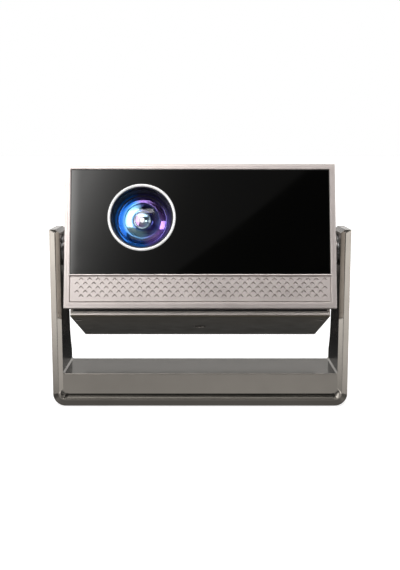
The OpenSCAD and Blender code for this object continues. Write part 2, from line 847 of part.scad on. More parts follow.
module audio_jack() color(black) posed() at_socket(100, 4) {
    difference() {
        union() {
            y_cylinder(3.8, socket_front + 6, socket_back);
            block([-5, socket_front - 4, -4], [5, rear_front - 0.5, 4]);
        }
        y_cylinder(1.78, socket_back - 14, socket_back + 1);
    }
}

module mains_inlet() color(black) posed() at_socket(-96, 9.5) {
    pin_gap = 4.3;
    floor_y = socket_back - 13;
    difference() {
        along_y(socket_front - 2, socket_back) rounded_rect(24, 16, 2);
        along_y(floor_y, socket_back + 1) {
            square([2 * pin_gap, 9.6], center = true);
            for (s = [-1, 1]) translate([s * pin_gap, 0]) circle(4.8);
        }
    }
    for (s = [-1, 1]) translate([s * pin_gap, 0, 0]) y_cylinder(1.2, floor_y - 0.5, socket_back - 3);
    block([-11, socket_front - 2, -9.5], [11, board_back, -7.9]);
}

module power_button() color(champagne) posed() translate([button_x, 0, button_z]) {
    y_cylinder(button_r, rear_front - 0.5, shell_back + 0.8);
    y_cylinder(button_r + 1.5, rear_front - 1.4, rear_front - 0.2);
    y_cylinder(1.5, rear_front - 2.4, rear_front - 1.4);
}

module button_switch() color(green) posed() translate([button_x, 0, button_z]) {
    block([-9, rear_front - 8, -11.5], [9, rear_front - 6.4, 11.5]);
    block([-3, rear_front - 6.4, -3], [3, rear_front - 3.4, 3]);
    for (z = [-9.8, 9.8]) translate([0, 0, z]) y_cylinder(1.4, rear_front - 6.4, rear_front);
}

module infrared_window() color(black) posed() translate([button_x - 24, 0, button_z]) {
    along_y(rear_front - 1, shell_back - 0.3) rounded_rect(15.8, 7.8, 1.9);
    along_y(rear_front - 2, rear_front) rounded_rect(19, 11, 2);
}

stand_frame();
stand_ballast();
stand_bottom_cover();
stand_foot_pad();
stand_screws();
hinge_bush(-1);  // hinge_bush_left
hinge_bush(1);  // hinge_bush_right
hinge_washer(-1);  // hinge_washer_left
hinge_washer(1);  // hinge_washer_right
arm_cap(-1);  // arm_cap_left
arm_cap(1);  // arm_cap_right
bezel();
front_glass();
speaker_grille();
front_carrier();
housing_shell();
bottom_cover();
rear_cover();
cover_screws();
screw_plugs();
tripod_insert();
hinge_shaft(-1);  // hinge_shaft_left
hinge_shaft(1);  // hinge_shaft_right
hub(-1);  // hub_left
hub(1);  // hub_right
hinge_nuts();
lens_ring();
lens_shroud();
lens_holder();
focus_motor();
lens_barrel();
front_lens();
middle_lens();
rear_lens();
focus_screw();
light_tunnel();
fold_mirror();
field_lens();
lcd_panel();
polarizer();
collimator_lens();
condenser_lens();
led_reflector();
led_module();
heat_sink();
exhaust_fan_frame();
exhaust_fan_rotor();
panel_fan_frame();
panel_fan_rotor();
speaker(-1);  // speaker_left
speaker(1);  // speaker_right
main_board();
power_board();
hdmi_socket();
usb_socket();
audio_jack();
mains_inlet();
power_button();
button_switch();
infrared_window();
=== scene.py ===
import json
import math

import bmesh
import bpy
from mathutils import Matrix, Vector
from mathutils.geometry import delaunay_2d_cdt


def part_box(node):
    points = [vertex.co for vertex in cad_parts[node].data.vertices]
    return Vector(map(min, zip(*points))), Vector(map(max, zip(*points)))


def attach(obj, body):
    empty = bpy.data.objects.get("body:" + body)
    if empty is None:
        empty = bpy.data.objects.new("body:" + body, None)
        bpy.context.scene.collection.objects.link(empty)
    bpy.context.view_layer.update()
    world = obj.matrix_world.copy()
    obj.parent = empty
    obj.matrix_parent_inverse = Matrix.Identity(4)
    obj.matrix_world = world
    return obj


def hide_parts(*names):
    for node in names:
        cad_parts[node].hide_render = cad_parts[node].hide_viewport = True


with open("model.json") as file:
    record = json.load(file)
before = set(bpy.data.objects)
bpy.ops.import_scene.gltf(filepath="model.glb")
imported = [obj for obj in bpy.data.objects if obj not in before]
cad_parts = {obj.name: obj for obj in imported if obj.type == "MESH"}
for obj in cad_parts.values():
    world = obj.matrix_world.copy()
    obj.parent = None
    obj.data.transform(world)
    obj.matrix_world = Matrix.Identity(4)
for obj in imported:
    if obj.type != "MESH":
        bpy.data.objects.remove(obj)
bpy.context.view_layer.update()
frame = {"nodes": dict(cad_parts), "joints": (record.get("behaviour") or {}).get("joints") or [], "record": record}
NODES = frame["nodes"]
JOINTS = {j["name"]: j for j in frame["joints"]}
NODE_BODY = {n: b for b, ns in frame["record"]["behaviour"]["bodies"].items() for n in ns}
NODE_SLOT = {s["node"]: s["material_slot"] for s in frame["record"]["subparts"]}
MM = 0.001

# The body's own frame: its origin on the tilt hinge, X right, Y back along the lens, Z up
BACK = Vector(JOINTS["lens_focus"]["axis"]).normalized()
RIGHT = Vector((1, 0, 0))
BODY = (Matrix.Translation(Vector(JOINTS["body_tilt"]["pos_m"]))
        @ Matrix((RIGHT, BACK, RIGHT.cross(BACK))).transposed().to_4x4()
        @ Matrix.Scale(MM, 4))
ROW = Matrix.Scale(MM, 4)


def body_box(node):
    """A node's box in the body's own frame, in millimetres."""
    inverse = BODY.inverted()
    pts = [inverse @ v.co for v in NODES[node].data.vertices]
    return (Vector([min(p[i] for p in pts) for i in range(3)]),
            Vector([max(p[i] for p in pts) for i in range(3)]))


# ---- Materials ----

class Shader:
    """A material of one Principled shader, with helpers that add nodes in front of it."""

    def __init__(self, name, color, rough, metallic=0.0, **sockets):
        self.mat = bpy.data.materials.new(name)
        self.mat.use_nodes = True
        self.nodes = self.mat.node_tree.nodes
        self.links = self.mat.node_tree.links
        self.bsdf = self.nodes["Principled BSDF"]
        self.color = (*color, 1.0)
        self.rough = rough
        self.set("Base Color", self.color)
        self.set("Roughness", rough)
        self.set("Metallic", metallic)
        for key, value in sockets.items():
            self.set(key.replace("_", " "), value)

    def set(self, socket, value):
        self.bsdf.inputs[socket].default_value = value

    def node(self, kind, **values):
        made = self.nodes.new(kind)
        for key, value in values.items():
            setattr(made, key, value)
        return made

    def link(self, out, into):
        self.links.new(out, into)

    def place(self):
        """The point on the piece, in metres in the row frame at rest."""
        return self.node("ShaderNodeTexCoord").outputs["Object"]

    def noise(self, scale, detail=2.0, stretch=(1, 1, 1)):
        mapping = self.node("ShaderNodeMapping")
        mapping.inputs["Scale"].default_value = stretch
        self.link(self.place(), mapping.inputs["Vector"])
        tex = self.node("ShaderNodeTexNoise")
        tex.inputs["Scale"].default_value = scale
        tex.inputs["Detail"].default_value = detail
        self.link(mapping.outputs[0], tex.inputs["Vector"])
        return tex.outputs["Fac"]

    def spread(self, fac, low, high):
        ranged = self.node("ShaderNodeMapRange")
        ranged.inputs["From Min"].default_value = 0.3
        ranged.inputs["From Max"].default_value = 0.7
        ranged.inputs["To Min"].default_value = low
        ranged.inputs["To Max"].default_value = high
        self.link(fac, ranged.inputs["Value"])
        return ranged.outputs["Result"]

    def ramp(self, fac, stops):
        made = self.node("ShaderNodeValToRGB")
        ramp = made.color_ramp
        while len(ramp.elements) < len(stops):
            ramp.elements.new(0.5)
        for element, (pos, color) in zip(ramp.elements, stops):
            element.position = pos
            element.color = (*color, 1.0)
        self.link(fac, made.inputs["Fac"])
        return made.outputs["Color"]

    def vary_color(self, scale, amount, stretch=(1, 1, 1)):
        """Clouds of a little lighter and darker colour."""
        fac = self.noise(scale, 3.0, stretch)
        low = [c * (1 - amount) for c in self.color[:3]]
        high = [min(1.0, c * (1 + amount)) for c in self.color[:3]]
        self.link(self.ramp(fac, [(0.3, low), (0.7, high)]), self.bsdf.inputs["Base Color"])
        return self

    def vary_rough(self, scale, amount, stretch=(1, 1, 1)):
        fac = self.noise(scale, 3.0, stretch)
        self.link(self.spread(fac, self.rough - amount, self.rough + amount),
                  self.bsdf.inputs["Roughness"])
        return self

    def grain(self, scale, strength, height_mm, stretch=(1, 1, 1)):
        """A fine relief."""
        bump = self.node("ShaderNodeBump")
        bump.inputs["Strength"].default_value = strength
        bump.inputs["Distance"].default_value = height_mm * MM
        self.link(self.noise(scale, 2.0, stretch), bump.inputs["Height"])
        self.link(bump.outputs["Normal"], self.bsdf.inputs["Normal"])
        return self


def satin(name, color, rough, metallic=1.0, scale=2600, strength=0.12, **sockets):
    shader = Shader(name, color, rough, metallic, **sockets)
    return shader.vary_color(14, 0.05).vary_rough(60, 0.03).grain(scale, strength, 0.02)


def moulded(name, color, rough, scale=1500, strength=0.25, **sockets):
    shader = Shader(name, color, rough, 0.0, **sockets)
    return shader.vary_color(40, 0.12).vary_rough(90, 0.05).grain(scale, strength, 0.04)


def brushed(name, color, rough, stretch):
    shader = Shader(name, color, rough, 1.0)
    return shader.vary_color(300, 0.06, stretch).vary_rough(500, 0.06, stretch).grain(
        900, 0.15, 0.02, stretch)


MATERIALS = {
    "stand_metal": satin("titanium_satin", (0.30, 0.28, 0.255), 0.15, strength=0.04),
    "champagne_metal": satin("champagne_satin", (0.63, 0.575, 0.56), 0.33, strength=0.06),
    "housing_metal": satin("housing_satin", (0.84, 0.785, 0.74), 0.30, strength=0.06),
    "black_glass": Shader("smoked_glass", (0.0015, 0.0016, 0.0014), 0.03, IOR=1.71)
        .vary_color(9, 0.25).vary_rough(35, 0.012),
    "black_plastic": moulded("moulded_black", (0.018, 0.018, 0.019), 0.48),
    "rubber": moulded("rubber", (0.012, 0.012, 0.012), 0.72, 1100, 0.4,
                      Specular_IOR_Level=0.15),
    "steel": brushed("plated_steel", (0.60, 0.60, 0.61), 0.28, (1, 12, 1)),
    # The polished ring's emission is a painted glow: it stands in for highlights on a ring that is no lamp.
    "bright_metal": satin("polished_ring_painted_glow", (1.0, 1.0, 1.0), 0.35, 0.5, 3000, 0.04,
                          Emission_Color=(1.0, 1.0, 1.0, 1.0), Emission_Strength=0.35),
    "brass": brushed("brass", (0.70, 0.53, 0.26), 0.27, (8, 1, 1)),
    "cast_iron": moulded("cast_iron", (0.10, 0.10, 0.10), 0.6, 700, 0.5),
    "coated_glass": Shader("coated_element", (0.10, 0.16, 0.55), 0.05, 0.8)
        .vary_color(20, 0.2).vary_rough(50, 0.02),
    "clear_glass": Shader("clear_element", (0.80, 0.88, 0.92), 0.04, 0.0, Alpha=0.5)
        .vary_color(20, 0.03).vary_rough(50, 0.02),
    "mirror": Shader("front_silvered", (0.92, 0.92, 0.93), 0.04, 1.0)
        .vary_color(30, 0.02).vary_rough(50, 0.02),
    "bare_aluminium": brushed("extruded_aluminium", (0.78, 0.78, 0.79), 0.35, (1, 1, 14)),
    "circuit_board": moulded("solder_resist", (0.015, 0.10, 0.045), 0.38, 900, 0.3),
    "phosphor": moulded("cast_phosphor", (0.80, 0.66, 0.16), 0.35, 800, 0.2),
}
# Painted shade: the faces under the body get a dark colour in place of the housing's, standing in for the shade
# that falls under it.
UNDERSIDE_PAINTED_SHADE = satin("underside_painted_shade", (0.22, 0.195, 0.155), 0.36, 1.0)
# Painted shade for the stand: a near-black colour on the arms' inner sides and the lip's slope.
STAND_PAINTED_SHADE = satin("stand_painted_shade", (0.06, 0.056, 0.05), 0.25, 1.0, strength=0.05)
DARK_BRASS = satin("darkened_brass", (0.07, 0.06, 0.045), 0.5, 1.0)
SHROUD = moulded("shroud_black", (0.002, 0.004, 0.014), 0.4, 2500, 0.1)
for node, obj in NODES.items():
    obj.data.materials.clear()
    obj.data.materials.append(MATERIALS[NODE_SLOT[node]].mat)
NODES["tripod_insert"].material_slots[0].material = DARK_BRASS.mat


# ---- Mesh helpers ----

def finish_mesh(name, bm, matrix, shaders, body, replaces=(), sharp=28):
    """Turns a bmesh drawn in millimetres into a piece that rides on a body."""
    bm.transform(matrix)
    bmesh.ops.recalc_face_normals(bm, faces=bm.faces)
    mesh = bpy.data.meshes.new(name)
    bm.to_mesh(mesh)
    bm.free()
    for shader in shaders:
        mesh.materials.append(shader.mat)
    mesh.polygons.foreach_set("use_smooth", [True] * len(mesh.polygons))
    mesh.set_sharp_from_angle(angle=math.radians(sharp))
    obj = bpy.data.objects.new(name, mesh)
    bpy.context.scene.collection.objects.link(obj)
    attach(obj, body)
    if replaces:
        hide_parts(*replaces)
    return obj


def refined(node, width, shaders=None, second=None, vented=False):
    """A CAD node with its edges rounded: the same solid, welded, cleaned and bevelled.
    width(middle of an edge in mm, is it convex) gives each hard edge's round, or 0.
    second(face centre in metres, face normal) picks the faces with the second shader.
    A vented node's faces are cut into triangles, as one face round many slots folds over."""
    hard, widest = math.radians(24), 1.0
    bm = bmesh.new()
    bm.from_mesh(NODES[node].data)
    bm.transform(Matrix.Scale(1 / MM, 4))
    bmesh.ops.remove_doubles(bm, verts=bm.verts, dist=0.003)
    bmesh.ops.dissolve_degenerate(bm, edges=bm.edges, dist=0.002)
    bmesh.ops.dissolve_limit(bm, angle_limit=math.radians(0.4), verts=bm.verts, edges=bm.edges)
    bmesh.ops.recalc_face_normals(bm, faces=bm.faces)
    weight = bm.edges.layers.float.new("bevel_weight_edge")
    for e in bm.edges:
        if len(e.link_faces) == 2 and e.calc_face_angle() > hard:
            middle = (e.verts[0].co + e.verts[1].co) / 2
            e[weight] = min(1.0, width(middle, e.is_convex) / widest)
    if second:
        for face in bm.faces:
            face.normal_update()
            if second(face.calc_center_median() * MM, face.normal):
                face.material_index = 1
    if vented:
        bmesh.ops.triangulate(bm, faces=[face for face in bm.faces if len(face.verts) > 4])
    obj = finish_mesh(node + "_finished", bm, ROW, shaders or [MATERIALS[NODE_SLOT[node]]],
                      NODE_BODY[node], [node], 24)
    bevel = obj.modifiers.new("edge_rounds", "BEVEL")
    bevel.limit_method = "WEIGHT"
    bevel.width = widest * MM
    bevel.segments = 3
    bevel.use_clamp_overlap = False
    bevel.miter_outer = "MITER_SHARP"
    flat = obj.modifiers.new("flat_faces", "WEIGHTED_NORMAL")
    flat.keep_sharp = True
    return obj


def round_off(width):
    """The same round on every convex edge."""
    return lambda middle, convex: width if convex else 0


def ring_faces(bm, loop_a, loop_b, material=0):
    n = len(loop_a)
    for i in range(n):
        face = bm.faces.new((loop_a[i], loop_a[(i + 1) % n], loop_b[(i + 1) % n], loop_b[i]))
        face.material_index = material


def lathe(name, outline, centre, shaders, body, replaces=(), segments=96,
          bands=None, sharp=28):
    """Turns an outline of (radius, depth) points round the lens axis. A first or last point
    of radius 0 closes the surface; otherwise the outline is a closed loop."""
    bm = bmesh.new()
    closed = outline[0][0] > 0 or outline[-1][0] > 0
    rings = []
    for radius, depth in outline:
        if radius == 0:
            rings.append([bm.verts.new((0, depth, 0))])
            continue
        turns = [2 * math.pi * i / segments for i in range(segments)]
        rings.append([bm.verts.new((radius * math.cos(a), depth, radius * math.sin(a)))
                      for a in turns])
    pairs = list(zip(rings, rings[1:])) + ([(rings[-1], rings[0])] if closed else [])
    for k, (a, b) in enumerate(pairs):
        material = bands[k] if bands and k < len(bands) else 0
        if len(a) == 1 or len(b) == 1:
            tip, rim = (a[0], b) if len(a) == 1 else (b[0], a)
            for i in range(segments):
                face = bm.faces.new((tip, rim[i], rim[(i + 1) % segments]))
                face.material_index = material
        else:
            ring_faces(bm, a, b, material)
    place = BODY @ Matrix.Translation(centre)
    return finish_mesh(name, bm, place, shaders, body, replaces, sharp)


def inside(point, loop):
    """True if a 2-D point is inside a polygon."""
    hit = False
    for (ax, az), (bx, bz) in zip(loop, loop[1:] + loop[:1]):
        if (az > point[1]) != (bz > point[1]):
            if point[0] < ax + (point[1] - az) * (bx - ax) / (bz - az):
                hit = not hit
    return hit


def fill(loops, extra=()):
    """Triangles of the first loop without the others: points, and index triples. extra
    holds further loops whose edges are kept, and whose insides are left out too."""
    pts, edges = [], []
    for loop in [*loops, *extra]:
        start = len(pts)
        pts += [Vector(p) for p in loop]
        edges += [(start + i, start + (i + 1) % len(loop)) for i in range(len(loop))]
    verts, _, faces, _, _, _ = delaunay_2d_cdt(pts, edges, [], 0, 1e-6)
    kept = []
    for f in faces:
        mid = sum((verts[i] for i in f), Vector((0, 0))) / len(f)
        if inside(mid, loops[0]) and not any(inside(mid, h) for h in [*loops[1:], *extra]):
            kept.append(f)
    return verts, kept


def plate_mesh(loops, inset_loops, front, back, chamfer, extra=()):
    """A plate with holes whose front edges are chamfered. Loops hold (x, z) points."""
    bm = bmesh.new()
    cache = {}

    def vert(x, y, z):
        key = (round(x, 3), round(y, 3), round(z, 3))
        if key not in cache:
            cache[key] = bm.verts.new((x, y, z))
        return cache[key]

    for depth, rims, more in ((front, inset_loops, extra), (back, loops, ())):
        verts, faces = fill(rims, more)
        for f in faces:
            bm.faces.new([vert(verts[i][0], depth, verts[i][1]) for i in f])
    for rim, inset in zip(loops, inset_loops):
        a = [vert(x, front, z) for x, z in inset]
        b = [vert(x, front + chamfer, z) for x, z in rim]
        c = [vert(x, back, z) for x, z in rim]
        ring_faces(bm, a, b)
        ring_faces(bm, b, c)
    return bm, vert


def rect(x0, x1, z0, z1, inset=0.0):
    return [(x0 + inset, z0 + inset), (x1 - inset, z0 + inset),
            (x1 - inset, z1 - inset), (x0 + inset, z1 - inset)]


def circle(x, z, r, count=128):
    turns = [2 * math.pi * i / count for i in range(count)]
    return [(x + r * math.cos(a), z + r * math.sin(a)) for a in turns]


# ---- Front of the body ----

bezel_lo, bezel_hi = body_box("bezel")
glass_lo, glass_hi = body_box("front_glass")
grille_lo, grille_hi = body_box("speaker_grille")
ring_lo, ring_hi = body_box("lens_ring")
shroud_lo, shroud_hi = body_box("lens_shroud")
front_lo, front_hi = body_box("front_lens")
face_y = bezel_lo.y
lens_x = (ring_lo.x + ring_hi.x) / 2
lens_z = (ring_lo.z + ring_hi.z) / 2
ring_r = (ring_hi.x - ring_lo.x) / 2
window_x = glass_hi.x + 0.1
window_top = glass_hi.z + 0.1
window_bottom = grille_lo.z - 0.2


def build_bezel():
    bm = bmesh.new()
    # (share of the border's width from its outer edge, depth behind the frame's slope)
    fall = 0.4
    profile = [(0, 0.5), (0.03, 0.2), (0.08, 0.0),
               (0.43, 0.0), (0.455, 0.2), (0.485, 0.2), (0.51, 0.0),
               (0.80, 0.0), (0.84, 0.05), (0.90, 0.1), (0.95, 0.4), (1.0, 1.0)]
    profile = [(t, y + fall * (1 - t)) for t, y in profile]
    profile = [(0, bezel_hi.y - face_y), *profile, (1.0, bezel_hi.y - face_y)]
    outer = rect(bezel_lo.x, bezel_hi.x, bezel_lo.z, bezel_hi.z)
    inner = rect(-window_x, window_x, window_bottom, window_top)
    loops = [[bm.verts.new((ox + (ix - ox) * t, face_y + y, oz + (iz - oz) * t))
              for (ox, oz), (ix, iz) in zip(outer, inner)] for t, y in profile]
    for a, b in zip(loops, loops[1:] + loops[:1]):
        ring_faces(bm, a, b)
    # The bar between glass and grille: a crowned bright strip over a narrow shadow gap
    top, low = glass_lo.z - 0.1, grille_hi.z + 0.2
    gap = 0.95
    section = [(2.9, top), (0.25, top), (-0.05, top - 0.22), (-0.15, top - 0.7),
               (-0.12, low + gap + 0.5), (0.1, low + gap + 0.12), (0.5, low + gap),
               (2.3, low + gap), (2.3, low), (2.9, low)]
    ends = [[bm.verts.new((x, face_y + y, z)) for y, z in section]
            for x in (-window_x - 0.4, window_x + 0.4)]
    ring_faces(bm, ends[0], ends[1])
    for end in ends:
        bm.faces.new(end)
    finish_mesh("bezel_frame", bm, BODY, [MATERIALS["champagne_metal"]], "projector",
                ["bezel"], 20)


def build_glass():
    chamfer = 0.3
    hole = ring_r + 0.1
    outer = (-window_x + 0.1, window_x - 0.1, glass_lo.z, glass_hi.z)
    bm, _ = plate_mesh([rect(*outer), circle(lens_x, lens_z, hole)],
                       [rect(*outer, chamfer), circle(lens_x, lens_z, hole + chamfer)],
                       glass_lo.y, glass_hi.y, chamfer)
    finish_mesh("front_glass_panel", bm, BODY, [MATERIALS["black_glass"]], "projector",
                ["front_glass"])


def build_grille():
    """A plate stamped with rows of small arrowheads, each a groove that is steep under its
    upper edge and runs out to two points."""
    pitch, row_pitch, offset = 8.06, 4.03, -1.4
    half_w, drop, across, shelf, depth = 2.5, 2.7, 1.0, 0.62, 0.8
    rows, most_aside, top_gap, end_gap = 5, 17, 0.5, 0.35
    x0, x1, z0, z1 = grille_lo.x, grille_hi.x, grille_lo.z, grille_hi.z
    marks = []
    for row in range(rows):
        apex_z = z1 - top_gap - row * row_pitch
        for i in range(-most_aside, most_aside + 1):
            apex_x = (i + 0.5 * (row % 2)) * pitch + offset
            if x0 + end_gap < apex_x - half_w and apex_x + half_w < x1 - end_gap:
                marks.append((apex_x, apex_z))

    def loop(x, z):
        toe = half_w - across * half_w / drop
        return [(x, z), (x - half_w, z - drop), (x - toe, z - drop), (x, z - across),
                (x + toe, z - drop), (x + half_w, z - drop)]

    chamfer = 0.3
    bm, vert = plate_mesh([rect(x0, x1, z0, z1)], [rect(x0, x1, z0, z1, chamfer)],
                          grille_lo.y, grille_hi.y, chamfer, [loop(*m) for m in marks])
    top = grille_lo.y
    for x, z in marks:
        apex, left, left_toe, middle, right_toe, right = [vert(px, top, pz)
                                                          for px, pz in loop(x, z)]
        run = drop - shelf - 0.3
        low = bm.verts.new((x, top + depth, z - shelf))
        low_left = bm.verts.new((x - run * half_w / drop, top + depth, z - shelf - run))
        low_right = bm.verts.new((x + run * half_w / drop, top + depth, z - shelf - run))
        for corners in ((apex, left, low_left, low), (low, low_left, left_toe, middle),
                        (left, left_toe, low_left), (apex, low, low_right, right),
                        (low, middle, right_toe, low_right), (right, low_right, right_toe)):
            bm.faces.new(corners)
    finish_mesh("speaker_grille_plate", bm, BODY, [MATERIALS["champagne_metal"]], "projector",
                ["speaker_grille"], 15)


def arc(cx, cy, r, a0, a1, count):
    """Points (radius, depth) on an arc of a section, with angles in degrees."""
    turns = [math.radians(a0 + (a1 - a0) * i / count) for i in range(count + 1)]
    return [(cx + r * math.cos(a), cy + r * math.sin(a)) for a in turns]


def build_lens():
    centre = Vector((lens_x, 0, lens_z))
    width = 2.4
    outer, inner = ring_r, ring_r - width
    crown = width / 2 - 0.1
    top = ring_lo.y
    outline = [(outer, ring_hi.y), (outer, top + crown + 0.2)]
    outline += arc((outer + inner) / 2, top + crown, crown, 0, -180, 12)
    outline += [(inner, top + crown + 0.2), (inner, ring_hi.y)]
    lathe("lens_trim_ring", outline, centre, [MATERIALS["bright_metal"]], "projector",
          ["lens_ring"], 128, sharp=50)

    # Shroud: a stepped dark cone with a polished lip round the front element
    mouth_r = inner - 0.1
    y0, y1 = shroud_lo.y, shroud_hi.y
    lens_r = (front_hi.x - front_lo.x) / 2
    cone, bands = [(mouth_r, y0 + 4.9), (mouth_r, y0), (mouth_r - 0.8, y0)], [0, 0, 0]
    steps = 9
    r_in, r_out, y_in, y_out = lens_r + 4.75, mouth_r - 0.9, y0 + 10.6, y0 + 0.5
    for i in range(steps + 1):
        s = i / steps
        r = r_out + (r_in - r_out) * s
        y = y_out + (y_in - y_out) * s
        cone += [(r, y), (r - 0.08, y + 0.7)]
        bands += [0, 0]
    lip = [(lens_r + 4.5, y1 - 0.25), (lens_r + 2.7, y1 - 0.62), (lens_r + 0.95, y1 - 0.95),
           (lens_r + 0.6, y1 - 0.7), (lens_r + 0.6, y1)]
    cone += lip + [(lens_r + 2.2, y1), (mouth_r - 1.8, y0 + 6.2), (mouth_r + 5.5, y0 + 6.2),
                   (mouth_r + 5.5, y0 + 4.9)]
    bands = bands[:-1] + [1] * 4 + [0] * 6
    lathe("lens_shroud_cone", cone, centre, [SHROUD, RIM_AND_PAINTED_REFLECTION], "projector",
          ["lens_shroud"], 128, bands, 24)

    # Front element: a clear meniscus, and behind it the coated group with its small pupil
    apex, edge = front_lo.y, front_lo.y + 5.5
    sag = edge - apex
    dome = (lens_r ** 2 + sag ** 2) / (2 * sag)
    thick = 1.0

    def cap(r, lift):
        return apex + lift + dome - math.sqrt(dome ** 2 - r ** 2)

    radii = [1.5 * i for i in range(1, 16)] + [lens_r - 0.3]
    glass = [(0, apex)] + [(r, cap(r, 0)) for r in radii]
    glass += [(lens_r, cap(lens_r, 0) + 0.3), (lens_r, cap(lens_r, 0) + 0.8)]
    glass += [(r, cap(r, thick)) for r in reversed(radii)]
    glass += [(0, apex + thick)]
    lathe("front_lens_glass", glass, centre, [CLEAR], "lens_barrel",
          ["front_lens"], 128, sharp=40)

    # The coated group: a small pupil, a ridge round the inner element, then a shallow dome
    # with one fine step in it
    group_depth, group_radius = 4.9, 160.0
    nose = apex + 2.4

    def shallow(r):
        return apex + group_depth + r * r / (2 * group_radius)

    group = [(0, nose), (1.3, nose + 0.02), (2.2, nose + 0.2), (2.6, nose + 0.6)]
    group += [(r, nose + 0.65 + r * r / 60.0) for r in (2.9, 4.0, 5.5, 6.6)]
    group += [(7.0, nose + 1.2), (7.5, nose + 0.95), (8.0, nose + 1.1), (8.5, nose + 1.6)]
    group += [(9.3, shallow(9.3) - 0.1), (10.0, shallow(10.0))]
    group += [(r, shallow(r)) for r in (11, 12.5, 14, 15.5, 16.2)]
    group += [(16.4, shallow(16.4) - 0.12), (16.9, shallow(16.9) - 0.16), (17.3, shallow(17.3))]
    group += [(r, shallow(r)) for r in (18.5, 20, 21.5, 22.8)]
    group += [(lens_r - 0.1, shallow(lens_r)), (lens_r - 0.1, front_hi.y - 0.2),
              (0, front_hi.y - 0.2)]
    bands = [1, 1] + [0] * (len(group) - 3)
    lathe("coated_lens_group", group, centre, [COATING_AND_PAINTED_REFLECTION, PUPIL_PAINTED_GLOW], "lens_barrel",
          (), 128, bands, 24)


def coating_with_painted_reflections(name, left, right, metallic, rough=0.05):
    """Interference colours that change with the distance from the lens axis, partly the
    coating's own and partly painted reflection: the left side gets lighter colours, and the right side its own
    colours with painted shade that darkens upwards."""
    shader = Shader(name, (0.05, 0.1, 0.5), rough, metallic)
    centre = BODY @ Vector((lens_x, 0, lens_z))
    offset = shader.node("ShaderNodeVectorMath", operation="SUBTRACT")
    shader.link(shader.place(), offset.inputs[0])
    offset.inputs[1].default_value = centre
    cross = shader.node("ShaderNodeVectorMath", operation="CROSS_PRODUCT")
    shader.link(offset.outputs[0], cross.inputs[0])
    cross.inputs[1].default_value = BACK
    length = shader.node("ShaderNodeVectorMath", operation="LENGTH")
    shader.link(cross.outputs[0], length.inputs[0])
    share = shader.node("ShaderNodeMath", operation="MULTIPLY")
    shader.link(length.outputs["Value"], share.inputs[0])
    share.inputs[1].default_value = 1 / (30 * MM)

    def along(direction, start, end, low, high):
        """A value that changes across the lens in one direction, in millimetres."""
        dot = shader.node("ShaderNodeVectorMath", operation="DOT_PRODUCT")
        shader.link(offset.outputs[0], dot.inputs[0])
        dot.inputs[1].default_value = direction
        ranged = shader.node("ShaderNodeMapRange")
        for socket, value in (("From Min", start * MM), ("From Max", end * MM),
                              ("To Min", low), ("To Max", high)):
            ranged.inputs[socket].default_value = value
        shader.link(dot.outputs["Value"], ranged.inputs["Value"])
        return ranged.outputs["Result"]

    def mixed(blend, factor, a, b):
        mix = shader.node("ShaderNodeMix", data_type="RGBA", blend_type=blend)
        if isinstance(factor, float):
            mix.inputs["Factor"].default_value = factor
        else:
            shader.link(factor, mix.inputs["Factor"])
        shader.link(a, mix.inputs["A"])
        shader.link(b, mix.inputs["B"])
        return mix.outputs["Result"]

    # Painted shade: the right side's colours darken upwards. Painted reflection: the left side keeps its own
    # lighter colours, split from the right along a slanted line.
    up = RIGHT.cross(BACK)
    darker = along(up, -6, 12, 1.0, 0.25)
    tinted = mixed("MULTIPLY", 1.0, shader.ramp(share.outputs[0], right), darker)
    side = along(RIGHT + 0.25 * up, -5, 3, 0.0, 1.0)
    color = mixed("MIX", side, shader.ramp(share.outputs[0], left), tinted)
    shader.link(color, shader.bsdf.inputs["Base Color"])
    return shader


# The lens and lip colours are partly coating colour and partly painted reflection and shade.
COATING_AND_PAINTED_REFLECTION = coating_with_painted_reflections(
    "coating_with_painted_reflections",
    [(0.0, (1.0, 1.0, 1.0)), (0.10, (0.85, 0.55, 0.85)), (0.20, (0.60, 0.35, 0.80)),
     (0.26, (0.70, 0.90, 1.0)), (0.31, (0.10, 0.30, 0.85)), (0.40, (0.45, 0.90, 1.0)),
     (0.52, (0.25, 0.65, 1.0)), (0.66, (0.01, 0.17, 0.72)), (0.84, (0.0, 0.07, 0.40))],
    [(0.0, (1.0, 1.0, 1.0)), (0.10, (0.55, 0.85, 0.95)), (0.20, (0.40, 0.60, 0.95)),
     (0.26, (0.60, 0.85, 1.0)), (0.31, (0.06, 0.08, 0.45)), (0.42, (0.06, 0.04, 0.26)),
     (0.54, (0.16, 0.22, 0.80)), (0.64, (0.45, 0.22, 0.85)), (0.82, (0.10, 0.10, 0.55))], 0.7)
RIM_AND_PAINTED_REFLECTION = coating_with_painted_reflections(
    "lens_rim_painted_reflections",
    [(0.80, (0.0, 0.08, 0.42)), (0.86, (0.02, 0.20, 0.75)), (0.93, (0.0, 0.05, 0.28))],
    [(0.80, (0.03, 0.03, 0.20)), (0.86, (0.20, 0.16, 0.60)), (0.93, (0.02, 0.02, 0.12))],
    0.7, 0.12)
# The pupil at the lens centre glows white: a painted highlight, not a lamp.
PUPIL_PAINTED_GLOW = Shader("pupil_painted_glow", (0.95, 0.95, 1.0), 0.3)
PUPIL_PAINTED_GLOW.set("Emission Color", (0.95, 0.93, 1.0, 1.0))
PUPIL_PAINTED_GLOW.set("Emission Strength", 0.8)
PUPIL_PAINTED_GLOW.vary_color(60, 0.03)
CLEAR = Shader("clear_front_glass", (1.0, 1.0, 1.0), 0.0, 0.0, IOR=1.35)
CLEAR.set("Transmission Weight", 1.0)
CLEAR.vary_color(25, 0.01)

build_bezel()
build_glass()
build_grille()
build_lens()

# ---- Housing and stand ----

DOWN = -(RIGHT.cross(BACK))
refined("housing_shell", round_off(0.4), vented=True)
